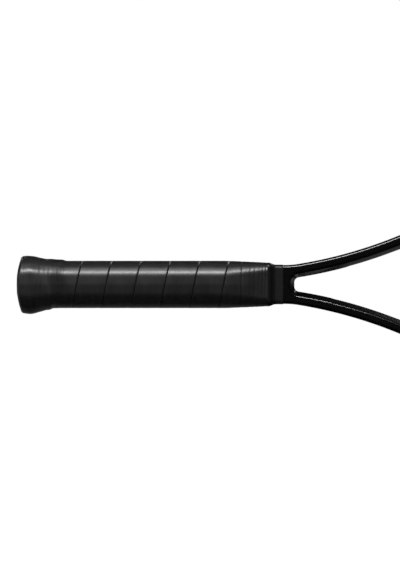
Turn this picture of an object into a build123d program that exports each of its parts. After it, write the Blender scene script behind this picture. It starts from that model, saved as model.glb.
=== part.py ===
from build123d import *
import os
from collections import namedtuple
from math import acos, asin, cos, hypot, radians, sin, sqrt

# A strung tennis racket. +X runs from the butt to the head tip, +Y is normal to the string plane and
# +Z lies in the string plane. The origin is the centre of the butt's flat end. All sizes are in mm.

# ---- Frame: outline in the string plane -------------------------------------------------------------
total_length = 685.8
head_half_width = 132.0
widest_from_tip = 165.8     # from the tip to where the head is widest
upper_side_turn = 40.0      # degrees that the upper side arc turns before the tip arc begins
lower_side_radius = 250.0
arm_radius = 350.0
arm_dip = 3.68              # how far the arm's arc, carried on, would reach below the shaft's side
neck_radius = 60.0
shaft_half_width = 14.86
bare_shaft = 1.56           # from the finishing tape to where the shaft begins to widen
crotch_lead = 7.04          # from where the shaft begins to widen to the throat opening
crotch_radius = 4.0
throat_corner_radius = 4.0

# ---- Frame: section ---------------------------------------------------------------------------------
beam_depth = 21.5           # along Y
tube_width = 10.2           # in the string plane
outer_chamfer = 1.8         # in the string plane, on the outside of the racket
outer_chamfer_depth = 4.5   # along Y
inner_chamfer = 4.0         # in the string plane, round the throat and the strings
inner_chamfer_depth = 6.0
tube_wall = 1.6
hollow_chamfer = 2.2        # on the hollow inside the tube, in the string plane
hollow_chamfer_depth = 4.0
groove_depth = 2.2          # stringing groove round the outside of the head
groove_width = 7.0
groove_lead = 11.9          # from the groove's start to the first hole in it
groove_floor_wall = 1.6

# ---- Handle -----------------------------------------------------------------------------------------
core_start_x = 12.0
core_half_width = 12.2
core_leg = 3.0              # bevel on the corners of the frame inside the handle
shoulder_lead = 4.4         # from the step out to the frame's full section to the grip's end
pallet_half_width = 16.15
pallet_half_depth = 14.3
pallet_leg = 7.5
pallet_taper = 30.0         # length over which the pallets narrow to the shaft
cap_wall = 3.5
cap_lip_x = 5.4
cap_lip_rise = 5.25         # rise of the lip above the pallets
cap_flare_x = 10.0
cap_flare_rise = 4.15
cap_waist_x = 16.0
cap_waist_rise = 3.05
cap_end_x = 25.0
cap_end_rise = 0.8
cap_dome_radius = 52.0
cap_flat_radius = 8.5
door_radius = 7.0
door_thickness = 1.5
plug_radius = 5.2
plug_length = 7.5
door_gap = 0.1              # clearance round the door and its plug
staple_x = 20.0
staple_crown = 7.0
staple_leg = 4.6
staple_wire = 0.8
staple_cover = 0.5          # depth of the crown below the cap's outer face

# ---- Grip and finishing tape ------------------------------------------------------------------------
grip_thickness = 1.7
grip_tail = 9.0             # from the grip's end to the tape's end
grip_skive = 2.2            # length of the thinned end of the grip
grip_skive_thickness = 1.55
grip_end_thickness = 0.9
tape_overlap_gap = 0.8      # from the shaft shoulder to the tape's first edge
tape_flat = 5.9             # length of the tape that lies on the shaft
tape_thickness = 0.25

# ---- String bed -------------------------------------------------------------------------------------
string_radius = 0.65
string_air = 0.01           # half of the gap between the mains and the crosses
string_bend = 0.8           # radius of the string's turn at a grommet
main_count = 16
main_margin = 49.0          # from the outermost main to the head's outer face
main_crowding = 0.11        # share of the cubic term that closes up the middle mains
cross_count = 19
first_cross_lead = 43.97    # from the bridge to the first cross
last_cross_lead = 35.0      # from the last cross to the tube at the tip
cross_crowding = 0.115

# ---- Grommets and bumper ----------------------------------------------------------------------------
barrel_radius = 1.8
barrel_bore = 1.0
barrel_gap = 0.1
barrel_proud = 1.0          # how far a barrel stands out of the inner face of the tube
bend_lead = 0.8             # distance from the barrel's end to the string's turn
strip_thickness = 1.0
strip_gap = 0.2             # clearance between a strip and the sides of the groove
throat_strip_margin = 1.65  # from midway between two mains to the end of the throat strip
throat_mains = 8
bumper_crosses = 3          # crosses whose holes are in the bumper
bumper_thickness = 1.2
bumper_half_depth = 6.2
bumper_channel = 2.2        # half-width of the channel that holds the string in the bumper
joint_gap = 0.3             # gap between the bumper and the side strips
string_depth = 0.2          # depth of the string's centre line below the frame's outer face

# ---- Knots and dampener -----------------------------------------------------------------------------
knot_ring_radius = 1.35
knot_cord_radius = 0.6
knot_room = 3.6             # least gap between strings that takes a knot
knot_main = 6               # which main, counted from the middle, carries the main string's knots
dampener_lead = 17.0        # from the dampener's centre to the first cross
dampener_radius = 8.2
dampener_flange = 3.0
dampener_neck_length = 9.0
dampener_gap = 0.2
dampener_edge = 0.9
dampener_dish_radius = 5.6  # shallow dish in each face
dampener_dish_depth = 0.6

half_beam = beam_depth / 2
string_plane = string_radius + string_air
cap_dome_x = sqrt(cap_dome_radius**2 - cap_flat_radius**2)
outer_wall = groove_depth + groove_floor_wall
mouth_inset = tube_width + barrel_proud + bend_lead

# ---- Outline arcs -----------------------------------------------------------------------------------
# A point of the outline is given by its heading h, the angle of the tangent to the X axis, and by its
# inset from the outer face: centre + (radius - inset) * (-sin h, cos h). A hollow arc, whose centre
# lies outside the racket, has a negative radius.
Bow = namedtuple("Bow", "x z radius start end")


def at(bow, heading, inset=0.0):
    h = radians(heading)
    reach = bow.radius - inset
    return (bow.x - reach * sin(h), bow.z + reach * cos(h))


def outline_bows():
    """The arcs of the upper half of the racket from the neck to the tip, and the arc of the bridge."""
    # Two unknown radii from the head's length and half-width beyond its widest point.
    turn, widest_x = radians(upper_side_turn), total_length - widest_from_tip
    det = sin(turn) * cos(turn) - (1 - sin(turn)) * (1 - cos(turn))
    upper_radius = (widest_from_tip * cos(turn) - head_half_width * (1 - sin(turn))) / det
    tip_radius = (head_half_width * sin(turn) - widest_from_tip * (1 - cos(turn))) / det
    # The side and the arm meet at a heading at which the arm's arc comes down to the shaft.
    fall = head_half_width - shaft_half_width + arm_dip
    beta = acos(1 - fall / (lower_side_radius + arm_radius))
    shoulder_heading = beta / radians(1)
    lower = Bow(widest_x, head_half_width - lower_side_radius, lower_side_radius, shoulder_heading, 0)
    upper = Bow(widest_x, head_half_width - upper_radius, upper_radius, 0, -upper_side_turn)
    tip = Bow(total_length - tip_radius, 0, tip_radius, -upper_side_turn, -90)
    shoulder = at(lower, shoulder_heading)
    arm_x = shoulder[0] - arm_radius * sin(beta)
    arm_z = shoulder[1] + arm_radius * cos(beta)
    neck_z = shaft_half_width + neck_radius
    neck_x = arm_x + sqrt((arm_radius - neck_radius) ** 2 - (arm_z - neck_z) ** 2)
    join = 90 + degrees_of(neck_x - arm_x, neck_z - arm_z)
    neck = Bow(neck_x, neck_z, -neck_radius, 0, join)
    arm = Bow(arm_x, arm_z, -arm_radius, join, shoulder_heading)
    inner = at(lower, shoulder_heading, tube_width)
    bridge_radius = inner[1] / cos(beta) + tube_width
    bridge_x = inner[0] + (bridge_radius - tube_width) * sin(beta)
    bridge = Bow(bridge_x, 0, bridge_radius, 90, shoulder_heading)
    return neck, arm, lower, upper, tip, bridge


def degrees_of(along, across):
    """Angle of a direction in degrees, from -90 to 90, for a positive first part."""
    return asin(across / hypot(along, across)) / radians(1)


NECK, ARM, LOWER, UPPER, TIP, BRIDGE = outline_bows()

# ---- Places along X that follow from the outline ----------------------------------------------------
opening_x = BRIDGE.x - BRIDGE.radius + tube_width
first_cross_x = opening_x + first_cross_lead
last_cross_x = total_length - tube_width - last_cross_lead
main_reach = head_half_width - main_margin
crotch_x = NECK.x + crotch_lead
tape_end_x = NECK.x - bare_shaft
tape_flat_x = tape_end_x - tape_flat
grip_end_x = tape_end_x - grip_tail
grip_skive_x = grip_end_x - grip_skive
shaft_shoulder_x = grip_end_x - shoulder_lead
pallet_taper_x = shaft_shoulder_x - pallet_taper


def arc_edges(bow, start, end, inset):
    """The arc from one heading to another, above the axis, and its mirror image below it."""
    points = [at(bow, start, inset), at(bow, (start + end) / 2, inset), at(bow, end, inset)]
    mirrored = [(x, -z) for x, z in points]
    return [Edge.make_three_point_arc(*points), Edge.make_three_point_arc(*mirrored)]


def outline(inset, start_x):
    """Face bounded by the racket's outer outline, moved in by inset, beyond start_x."""
    edges = []
    if start_x < NECK.x:
        first = at(NECK, 0, inset)
        for side in (1, -1):
            edges.append(Edge.make_line((start_x, side * first[1]), (NECK.x, side * first[1])))
        edges += arc_edges(NECK, NECK.start, NECK.end, inset)
        arm_start = ARM.start
        end_z = first[1]
    else:
        arm_start = degrees_of(sqrt((arm_radius + inset) ** 2 - (start_x - ARM.x) ** 2), start_x - ARM.x)
        end_z = at(ARM, arm_start, inset)[1]
    edges.append(Edge.make_line((start_x, -end_z), (start_x, end_z)))
    edges += arc_edges(ARM, arm_start, ARM.end, inset)
    for bow in (LOWER, UPPER, TIP):
        edges += arc_edges(bow, bow.start, bow.end, inset)
    return Face(Wire(edges))


def head_oval(inset):
    """Face inside the head: the tube's inner face at the sides and the bridge at the bottom."""
    edges = []
    for bow in (BRIDGE, LOWER, UPPER, TIP):
        edges += arc_edges(bow, bow.start, bow.end, inset)
    return Face(Wire(edges))


def slab(face, half_depth):
    """A face drawn in X and Z, thickened along Y to both sides of the string plane."""
    return extrude(Plane.XZ * face, amount=half_depth, both=True)


def block(x_range, y_range, z_range):
    sizes = [high - low for low, high in (x_range, y_range, z_range)]
    centre = [(high + low) / 2 for low, high in (x_range, y_range, z_range)]
    return Pos(*centre) * Box(*sizes)


def rod(start, end, radius, y=0.0):
    """A round bar between two points of a plane parallel to the string plane."""
    along = (end[0] - start[0], 0, end[1] - start[1])
    seat = Plane(origin=(start[0], y, start[1]), z_dir=along)
    base = (Align.CENTER, Align.CENTER, Align.MIN)
    return seat * Cylinder(radius, hypot(along[0], along[2]), align=base)


def rod_x(start_x, end_x, radius):
    return rod((start_x, 0), (end_x, 0), radius)


# ---- Strings and their holes ------------------------------------------------------------------------
# A hole runs along the normal of the head's inner face. Its mouth is where the string turns inside the
# head, its bend is where the string turns outside, and way is the unit vector from mouth to bend.
Hole = namedtuple("Hole", "mouth bend outer way y")


def main_places():
    steps = [(2 * i + 1) / (main_count - 1) for i in range(main_count // 2)]
    return [main_reach * ((1 - main_crowding) * t + main_crowding * t**3) for t in steps]


def cross_places():
    middle, half = (first_cross_x + last_cross_x) / 2, (last_cross_x - first_cross_x) / 2
    steps = [2 * i / (cross_count - 1) - 1 for i in range(cross_count)]
    return [middle + half * ((1 - cross_crowding) * t + cross_crowding * t**3) for t in steps]


def heading_at_z(side, end, z):
    """The arc, and the heading on it, where the mouth curve reaches z on the tip or bridge side."""
    reach = end.radius - mouth_inset
    heading = acos(min(z / reach, 1)) / radians(1)
    sign = 1 if end is BRIDGE else -1
    if heading < abs(side.start + side.end):
        reach = side.radius - mouth_inset
        return side, sign * acos((z - side.z) / reach) / radians(1)
    return end, sign * heading


def heading_at_x(x):
    bows = (LOWER, BRIDGE) if x < LOWER.x else (UPPER, TIP)
    for bow in bows:
        heading = asin(max(min((bow.x - x) / (bow.radius - mouth_inset), 1), -1)) / radians(1)
        if min(bow.start, bow.end) <= heading <= max(bow.start, bow.end):
            return bow, heading
    return bows[-1], heading


def hole(bow, heading, side, y):
    mouth = at(bow, heading, mouth_inset)
    outer = at(bow, heading, 0)
    reach = hypot(outer[0] - mouth[0], outer[1] - mouth[1])
    way = ((outer[0] - mouth[0]) / reach, (outer[1] - mouth[1]) / reach)
    if bow is BRIDGE and mouth[1] > THROAT_EDGE:
        reach = distance_to_arm(mouth, way)
    outer = (mouth[0] + way[0] * reach, mouth[1] + way[1] * reach)
    bend = (outer[0] - way[0] * string_depth, outer[1] - way[1] * string_depth)
    return Hole((mouth[0], side * mouth[1]), (bend[0], side * bend[1]),
                (outer[0], side * outer[1]), (way[0], side * way[1]), y)


def distance_to_arm(point, way):
    """Distance from a point inside the head to the arm's outer face along a direction."""
    to_x, to_z = point[0] - ARM.x, point[1] - ARM.z
    b = to_x * way[0] + to_z * way[1]
    c = to_x**2 + to_z**2 - arm_radius**2
    return -b - sqrt(b * b - c)


MAINS, CROSSES = main_places(), cross_places()
THROAT_EDGE = (MAINS[throat_mains // 2 - 1] + MAINS[throat_mains // 2]) / 2


def main_run(z):
    """The two holes of one main, at the bridge end and at the tip end."""
    side = 1 if z > 0 else -1
    low = hole(*heading_at_z(LOWER, BRIDGE, abs(z)), side, string_plane)
    high = hole(*heading_at_z(UPPER, TIP, abs(z)), side, string_plane)
    return low, high


def cross_run(x):
    bow, heading = heading_at_x(x)
    return hole(bow, heading, -1, -string_plane), hole(bow, heading, 1, -string_plane)


MAIN_RUNS = [main_run(z) for z in [-z for z in reversed(MAINS)] + MAINS]
CROSS_RUNS = [cross_run(x) for x in CROSSES]
HOLES = [end for run in MAIN_RUNS + CROSS_RUNS for end in run]
THROAT_HOLES = [h for h in HOLES if h.outer[0] < BRIDGE.x and abs(h.mouth[1]) < THROAT_EDGE]
OUTER_HOLES = [h for h in HOLES if h not in THROAT_HOLES]
groove_start_x = min(h.outer[0] for h in OUTER_HOLES) - groove_lead
bumper_start_x = sum(run[0].outer[0] for run in CROSS_RUNS[-bumper_crosses - 1:-bumper_crosses + 1]) / 2
throat_strip_reach = THROAT_EDGE + throat_strip_margin


def loop_middle(first, second):
    """Middle of the string's loop between two holes, bowed out to follow the frame."""
    span = hypot(second[0] - first[0], second[1] - first[1])
    bow_out = span**2 / (8 * TIP.radius)
    across = ((second[1] - first[1]) / span, (first[0] - second[0]) / span)
    middle = ((first[0] + second[0]) / 2, (first[1] + second[1]) / 2)
    outward = middle[0] - BRIDGE.x, middle[1]
    sign = 1 if outward[0] * across[0] + outward[1] * across[1] > 0 else -1
    return (middle[0] + sign * across[0] * bow_out, middle[1] + sign * across[1] * bow_out)


def laced(runs):
    """One string that runs up and down, or to and fro, through every hole in turn."""
    route = []
    for index, run in enumerate(runs):
        first, last = (run[1], run[0]) if index % 2 == 0 else run
        if route:
            route.append(loop_middle(route[-1], first.bend))
        route += [first.bend, first.mouth, last.mouth, last.bend]
    points = [(x, runs[0][0].y, z) for x, z in route]
    path = FilletPolyline(*points, radius=string_bend)
    start = Plane(origin=points[0], z_dir=Vector(*points[1]) - Vector(*points[0]))
    return sweep(start * Circle(string_radius), path=path)


def knot(near, far, crossed):
    """Two turns round a string, in the first gap from its near hole that takes them."""
    (x, z), y = near.mouth, near.y
    toward = (far.mouth[0] - x, far.mouth[1] - z)
    span = hypot(*toward)
    way = (toward[0] / span, toward[1] / span)
    start = 0
    for stop in sorted(abs(place - x * abs(way[0]) - z * abs(way[1])) for place in crossed):
        if stop - string_radius - start > knot_room:
            break
        start = stop + string_radius
    middle = (start + stop - string_radius) / 2
    turns = []
    for away in (middle - knot_cord_radius, middle + knot_cord_radius):
        seat = Plane(origin=(x + way[0] * away, y, z + way[1] * away), z_dir=(toward[0], 0, toward[1]))
        turns.append(seat * Torus(knot_ring_radius, knot_cord_radius))
    return turns[0] + turns[1]


# ---- Eight-sided sections of the handle -------------------------------------------------------------
Section = namedtuple("Section", "half_z half_y leg_z leg_y")
PALLET = Section(pallet_half_width, pallet_half_depth, pallet_leg, pallet_leg)
SHAFT = Section(shaft_half_width, half_beam, outer_chamfer, outer_chamfer_depth)
CORE = Section(core_half_width, half_beam, core_leg, core_leg)


def grown(section, rise):
    """The same section with each of its eight sides moved out by rise."""
    slope = hypot(section.leg_z, section.leg_y)
    n_z, n_y = section.leg_y / slope, section.leg_z / slope
    reach = n_z * section.half_z + n_y * (section.half_y - section.leg_y) + rise
    half_z, half_y = section.half_z + rise, section.half_y + rise
    return Section(half_z, half_y, half_z - (reach - n_y * half_y) / n_z,
                   half_y - (reach - n_z * half_z) / n_y)


def eight_sided(x, section):
    quarter = [(section.half_z - section.leg_z, section.half_y),
               (section.half_z, section.half_y - section.leg_y)]
    upper = quarter + [(z, -y) for z, y in reversed(quarter)]
    ring = upper + [(-z, -y) for z, y in upper]
    return Face(Wire.make_polygon([(x, y, z) for z, y in ring], close=True))


def skin(*stations):
    """A solid with flat sides through eight-sided sections at given places along X."""
    return loft([eight_sided(x, section) for x, section in stations], ruled=True)


# ---- Frame ------------------------------------------------------------------------------------------
def throat_face():
    inside = outline(tube_width, crotch_x) - Pos(BRIDGE.x, 0) * Circle(BRIDGE.radius)
    face = inside.faces().sort_by(Axis.X)[0]
    corners = face.vertices().sort_by(Axis.X)
    face = fillet(corners[:2], crotch_radius).faces()[0]
    return fillet(face.vertices().sort_by(Axis.X)[-2:], throat_corner_radius).faces()[0]


def chamfer_faces(body):
    """Chamfers on both flat sides of the frame: shallow outside, deep round the two openings."""
    for end in (0, -1):
        side = body.faces().sort_by(Axis.Y)[end]
        body = chamfer(side.outer_wire().edges(), outer_chamfer, outer_chamfer_depth, reference=side)
        side = body.faces().sort_by(Axis.Y)[end]
        rims = [edge for wire in side.inner_wires() for edge in wire.edges()]
        body = chamfer(rims, inner_chamfer, inner_chamfer_depth, reference=side)
    return body


def tube_cavity():
    """The hollow inside the frame: one channel in each arm, closed off down the middle of the shaft."""
    web = tube_width - tube_wall
    plan = outline(outer_wall, core_start_x + tube_wall)
    plan -= outline(web, crotch_x - tube_wall)
    plan -= Pos((crotch_x + core_start_x) / 2, 0) * Rectangle(crotch_x - core_start_x, 2 * tube_wall)
    hollow = slab(plan, half_beam - tube_wall)
    for end in (0, -1):
        side = hollow.faces().sort_by(Axis.Y)[end]
        hollow = chamfer(side.edges(), hollow_chamfer, hollow_chamfer_depth, reference=side)
    return hollow


def head_band(outer_inset, inner_inset, half_depth, from_x, to_x):
    """A band that follows the outside of the head, between two insets and two places along X."""
    band = slab(outline(outer_inset, crotch_x), half_depth) - slab(outline(inner_inset, crotch_x), beam_depth)
    reach = head_half_width + tube_width
    return band & block((from_x, to_x), (-beam_depth, beam_depth), (-reach, reach))


def bridge_band(outer_inset, inner_inset, half_depth, half_length):
    """A band that follows the throat side of the bridge."""
    ring = Circle(BRIDGE.radius - outer_inset) - Circle(BRIDGE.radius - inner_inset)
    band = slab(Pos(BRIDGE.x, 0) * ring, half_depth)
    return band & block((crotch_x, BRIDGE.x), (-beam_depth, beam_depth), (-half_length, half_length))


def drilled(holes, radius, inner_inset, outer_inset):
    """Round bars along holes; each runs from inner_inset inside the mouth to outer_inset."""
    bars = []
    for h in holes:
        start = (h.mouth[0] + h.way[0] * inner_inset, h.mouth[1] + h.way[1] * inner_inset)
        end = (h.outer[0] - h.way[0] * outer_inset, h.outer[1] - h.way[1] * outer_inset)
        bars.append(rod(start, end, radius, h.y))
    return bars


def core_of_shaft():
    return skin((core_start_x, CORE), (shaft_shoulder_x, CORE))


def whole_frame():
    body = slab(outline(0, core_start_x), half_beam)
    body -= slab(head_oval(tube_width), beam_depth)
    body -= slab(throat_face(), beam_depth)
    body = chamfer_faces(body)
    reach = shaft_half_width + tube_width
    handle_zone = block((0, shaft_shoulder_x), (-beam_depth, beam_depth), (-reach, reach))
    body -= handle_zone - core_of_shaft()
    body -= tube_cavity()
    half_groove = groove_width / 2
    body -= head_band(-bumper_thickness, groove_depth, half_groove, groove_start_x, 2 * total_length)
    body -= bridge_band(-tube_width, groove_depth, half_groove, throat_strip_reach + joint_gap)
    return body - drilled(HOLES, barrel_radius + barrel_gap, 0, -bumper_thickness)


def make_frame():
    """The hoop with its arms and shaft, and the bridge that closes the head."""
    body = whole_frame()
    inner_end = at(LOWER, LOWER.start, tube_width)[0]
    zone = slab(outline(tube_width, crotch_x - tube_width), beam_depth)
    reach = head_half_width
    zone &= block((crotch_x + tube_width, inner_end), (-beam_depth, beam_depth), (-reach, reach))
    return body - zone, body & zone


# ---- Handle -----------------------------------------------------------------------------------------
def pallet_envelope():
    return skin((cap_wall, PALLET), (pallet_taper_x, PALLET), (shaft_shoulder_x, SHAFT))


def staples():
    """Two wire staples that hold the butt cap, each on one narrow side of the pallets."""
    result = []
    seat = pallet_half_width + rise_at(staple_x + staple_wire / 2) - staple_cover
    for side in (1, -1):
        crown_z = sorted((side * (seat - staple_wire), side * seat))
        leg_z = sorted((side * (seat - staple_leg), side * (seat - staple_wire)))
        wide = (staple_x - staple_wire / 2, staple_x + staple_wire / 2)
        half = staple_crown / 2
        body = block(wide, (-half, half), crown_z)
        body += block(wide, (-half, staple_wire - half), leg_z)
        body += block(wide, (half - staple_wire, half), leg_z)
        result.append(body)
    return result


def rise_at(x):
    """Height of the cap's skirt above the pallets between its waist and its end."""
    share = (x - cap_waist_x) / (cap_end_x - cap_waist_x)
    return cap_waist_rise + share * (cap_end_rise - cap_waist_rise)


def cap_envelope():
    lip = skin((0, grown(PALLET, cap_lip_rise)), (cap_lip_x, grown(PALLET, cap_lip_rise)))
    skirt = skin((cap_lip_x, grown(PALLET, cap_lip_rise - grip_thickness)),
                 (cap_flare_x, grown(PALLET, cap_flare_rise)),
                 (cap_waist_x, grown(PALLET, cap_waist_rise)),
                 (cap_end_x, grown(PALLET, cap_end_rise)))
    return (lip + skirt) & (Pos(cap_dome_x, 0, 0) * Sphere(cap_dome_radius))


def staple_slots():
    """The staples' crowns and legs, with the slot above each crown open to the grip."""
    slots = []
    top = pallet_half_width + cap_flare_rise
    for side, staple in zip((1, -1), staples()):
        wide = (staple_x - staple_wire / 2, staple_x + staple_wire / 2)
        crown = pallet_half_width + rise_at(staple_x + staple_wire / 2) - staple_cover - staple_wire
        span = sorted((side * crown, side * top))
        slots.append(staple + block(wide, (-staple_crown / 2, staple_crown / 2), span))
    return slots


def make_butt_cap():
    plug_bore = plug_radius + door_gap
    body = cap_envelope() - pallet_envelope() - rod_x(-1, cap_wall + 1, plug_bore)
    body -= rod_x(-1, door_thickness + door_gap, door_radius + door_gap)
    return body - staple_slots()


def make_door():
    disc = rod_x(0, door_thickness, door_radius)
    return disc + rod_x(door_thickness, door_thickness + plug_length, plug_radius)


def make_pallets():
    bore_end = door_thickness + plug_length + door_gap
    body = pallet_envelope() - core_of_shaft() - rod_x(0, bore_end, plug_radius + door_gap)
    body -= staples()
    reach = 2 * pallet_half_width
    front = block((0, total_length), (-reach, 0), (-reach, reach))
    back = block((0, total_length), (0, reach), (-reach, reach))
    return body & front, body & back


def grip_envelope():
    return skin((cap_lip_x, grown(PALLET, cap_lip_rise)),
                (cap_flare_x, grown(PALLET, cap_flare_rise + grip_thickness)),
                (cap_waist_x, grown(PALLET, cap_waist_rise + grip_thickness)),
                (cap_end_x, grown(PALLET, cap_end_rise + grip_thickness)),
                (cap_end_x + grip_thickness, grown(PALLET, grip_thickness)),
                (pallet_taper_x, grown(PALLET, grip_thickness)),
                (shaft_shoulder_x, grown(SHAFT, grip_thickness)),
                (grip_skive_x, grown(SHAFT, grip_skive_thickness)),
                (grip_end_x, grown(SHAFT, grip_end_thickness)))


def shaft_stub():
    return skin((shaft_shoulder_x, SHAFT), (tape_end_x, SHAFT))


def make_grip():
    return grip_envelope() - cap_envelope() - pallet_envelope() - shaft_stub()


def make_tape():
    body = skin((shaft_shoulder_x + tape_overlap_gap, grown(SHAFT, grip_thickness + tape_thickness)),
                (grip_skive_x, grown(SHAFT, grip_skive_thickness + tape_thickness)),
                (grip_end_x, grown(SHAFT, grip_end_thickness + tape_thickness)),
                (tape_flat_x, grown(SHAFT, tape_thickness)),
                (tape_end_x, grown(SHAFT, tape_thickness)))
    return body - grip_envelope() - shaft_stub()


# ---- Grommets and bumper ----------------------------------------------------------------------------
def with_barrels(strip, holes):
    """Adds a barrel for each hole to a strip, and bores the strip and the barrels for the string."""
    floor = groove_depth - strip_thickness / 2
    return strip + drilled(holes, barrel_radius, bend_lead, floor) - drilled(holes, barrel_bore, 0, 0)


def make_side_strip(side):
    low, high = sorted((0, side * total_length))
    half_strip = groove_width / 2 - strip_gap
    top = groove_depth - strip_thickness
    band = head_band(top, groove_depth, half_strip, groove_start_x + strip_gap, bumper_start_x - joint_gap)
    band &= block((0, total_length), (-beam_depth, beam_depth), (low, high))
    holes = [h for h in OUTER_HOLES if h.outer[1] * side > 0 and h.outer[0] < bumper_start_x]
    return with_barrels(band, holes)


def make_throat_strip():
    half_strip = groove_width / 2 - strip_gap
    band = bridge_band(groove_depth - strip_thickness, groove_depth, half_strip, throat_strip_reach)
    return with_barrels(band, THROAT_HOLES)


def make_bumper():
    end_x = 2 * total_length
    half_strip = groove_width / 2 - strip_gap
    base = head_band(groove_depth - strip_thickness, groove_depth, half_strip, bumper_start_x, end_x)
    rim = head_band(0, groove_depth - strip_thickness / 2, half_strip, bumper_start_x, end_x)
    guard = head_band(-bumper_thickness, 0, bumper_half_depth, bumper_start_x, end_x)
    channel = block((0, end_x), (-bumper_channel, bumper_channel), (-total_length, total_length))
    body = base + (rim + guard - channel)
    return with_barrels(body, [h for h in OUTER_HOLES if h.outer[0] > bumper_start_x])


# ---- Dampener ---------------------------------------------------------------------------------------
def make_dampener():
    """A rubber button whose waist sits between the two middle mains."""
    half_slot = string_radius + dampener_gap
    neck_half_width = MAINS[0] - string_radius - dampener_gap
    centre_x = first_cross_x - dampener_lead
    seat = Plane(origin=(centre_x, string_plane, 0), x_dir=(1, 0, 0), z_dir=(0, 1, 0))
    button = Cylinder(dampener_radius, 2 * (half_slot + dampener_flange))
    rims = button.edges().filter_by(GeomType.CIRCLE)
    button = fillet(rims, dampener_edge)
    face_y = half_slot + dampener_flange
    for side in (1, -1):
        dish = Cylinder(dampener_dish_radius, 2 * dampener_dish_depth)
        button -= Pos(0, 0, side * face_y) * dish
    slot = Cylinder(2 * dampener_radius, 2 * half_slot)
    neck = Box(dampener_neck_length, 2 * neck_half_width, 2 * half_slot)
    return seat * (button - (slot - neck))


def main_knot(side):
    low, high = MAIN_RUNS[main_count // 2 + side * knot_main - (1 if side > 0 else 0)]
    return knot(high, low, CROSSES)


def cross_knot(run):
    return knot(run[1], run[0], MAINS)


def build():
    hoop, bridge = make_frame()
    front_pallet, back_pallet = make_pallets()
    upper_staple, lower_staple = staples()
    return {
        "frame_hoop": hoop,
        "throat_bridge": bridge,
        "handle_pallet_front": front_pallet,
        "handle_pallet_back": back_pallet,
        "butt_cap": make_butt_cap(),
        "butt_cap_door": make_door(),
        "butt_cap_staple_upper": upper_staple,
        "butt_cap_staple_lower": lower_staple,
        "base_grip": make_grip(),
        "finishing_tape": make_tape(),
        "bumper_guard": make_bumper(),
        "grommet_strip_upper": make_side_strip(1),
        "grommet_strip_lower": make_side_strip(-1),
        "grommet_strip_throat": make_throat_strip(),
        "main_strings": laced(MAIN_RUNS),
        "cross_strings": laced(CROSS_RUNS),
        "main_knot_upper": main_knot(1),
        "main_knot_lower": main_knot(-1),
        "cross_knot_first": cross_knot(CROSS_RUNS[1]),
        "cross_knot_last": cross_knot(CROSS_RUNS[-2]),
        "string_dampener": make_dampener(),
    }


os.makedirs("parts", exist_ok=True)
for name, shape in build().items():
    shape.label = name
    export_step(shape, f"parts/{name}.step")
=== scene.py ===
import math
from collections import namedtuple

import bmesh
import bpy
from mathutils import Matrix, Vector, noise


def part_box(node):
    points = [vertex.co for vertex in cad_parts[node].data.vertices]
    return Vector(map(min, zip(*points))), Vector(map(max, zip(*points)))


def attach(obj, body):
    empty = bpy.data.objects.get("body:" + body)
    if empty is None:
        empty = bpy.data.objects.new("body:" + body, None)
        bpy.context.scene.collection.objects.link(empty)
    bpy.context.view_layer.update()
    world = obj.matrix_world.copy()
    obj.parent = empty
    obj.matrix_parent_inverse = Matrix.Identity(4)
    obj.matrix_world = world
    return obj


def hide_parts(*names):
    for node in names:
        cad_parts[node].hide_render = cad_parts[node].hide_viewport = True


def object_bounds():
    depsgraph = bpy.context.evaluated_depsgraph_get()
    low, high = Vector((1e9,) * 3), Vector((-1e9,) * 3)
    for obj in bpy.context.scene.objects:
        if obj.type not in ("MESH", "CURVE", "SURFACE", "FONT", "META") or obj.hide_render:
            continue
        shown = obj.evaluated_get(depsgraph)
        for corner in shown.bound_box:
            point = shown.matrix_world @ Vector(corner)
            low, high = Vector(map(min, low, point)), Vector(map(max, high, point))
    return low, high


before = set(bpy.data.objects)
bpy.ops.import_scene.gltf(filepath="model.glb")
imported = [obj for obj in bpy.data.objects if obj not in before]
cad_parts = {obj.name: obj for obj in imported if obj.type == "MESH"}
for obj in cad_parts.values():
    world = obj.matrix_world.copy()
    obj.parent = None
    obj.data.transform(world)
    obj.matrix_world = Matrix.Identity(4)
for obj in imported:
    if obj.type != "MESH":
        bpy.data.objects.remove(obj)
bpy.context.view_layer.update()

# Looks of a strung tennis racket. Everything is in metres in the row frame: +X runs from the butt to the
# tip, +Y is normal to the string plane and +Z lies in it. Sizes written in millimetres carry MM.
MM = 0.001

# ---- Sizes that the frame gives ----
TOTAL_LENGTH, HALF_BEAM, HEAD_HALF_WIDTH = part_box("frame_hoop")[1]
GRIP_END_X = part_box("base_grip")[1][0]
# These two are not used: the tape and the door are drawn from numbers of their own.
TAPE_LOW, TAPE_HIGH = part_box("finishing_tape")
DOOR_LOW, DOOR_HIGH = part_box("butt_cap_door")
DAMPENER_LOW, DAMPENER_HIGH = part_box("string_dampener")

# ---- Outline of the frame in the string plane ----
WIDEST_X = 520 * MM
UPPER_SIDE_TURN = 40  # degrees that the upper side arc turns
LOWER_SIDE_RADIUS = 250 * MM
SHOULDER_HEADING = 37  # degrees from the X axis where an arm meets the head
ARM_RADIUS = 350 * MM
NECK_RADIUS = 60 * MM
SHAFT_HALF_WIDTH = 14.86 * MM
SHAFT_SHOULDER_X = 190 * MM
CROTCH_X = 212 * MM
CROTCH_RADIUS = 4 * MM
THROAT_CORNER_RADIUS = 4 * MM
TUBE_WIDTH = 10.2 * MM
OUTER_CHAMFER = (1.8 * MM, 4.5 * MM)
OUTER_EDGE = (0.3 * MM, 3.7 * MM)  # the outer chamfer as the lacquer softens it
OUTER_EDGE_RADII = (2.2 * MM, 2.5 * MM)  # roundings where it meets the side and the flat
OUTER_FLAT = 3.0 * MM  # width of the flat beside it in the rings
INNER_EDGE = (3.4 * MM, 6.0 * MM)  # the same round the throat and the strings
INNER_EDGE_RADII = (3.0 * MM, 2.3 * MM)
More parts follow.
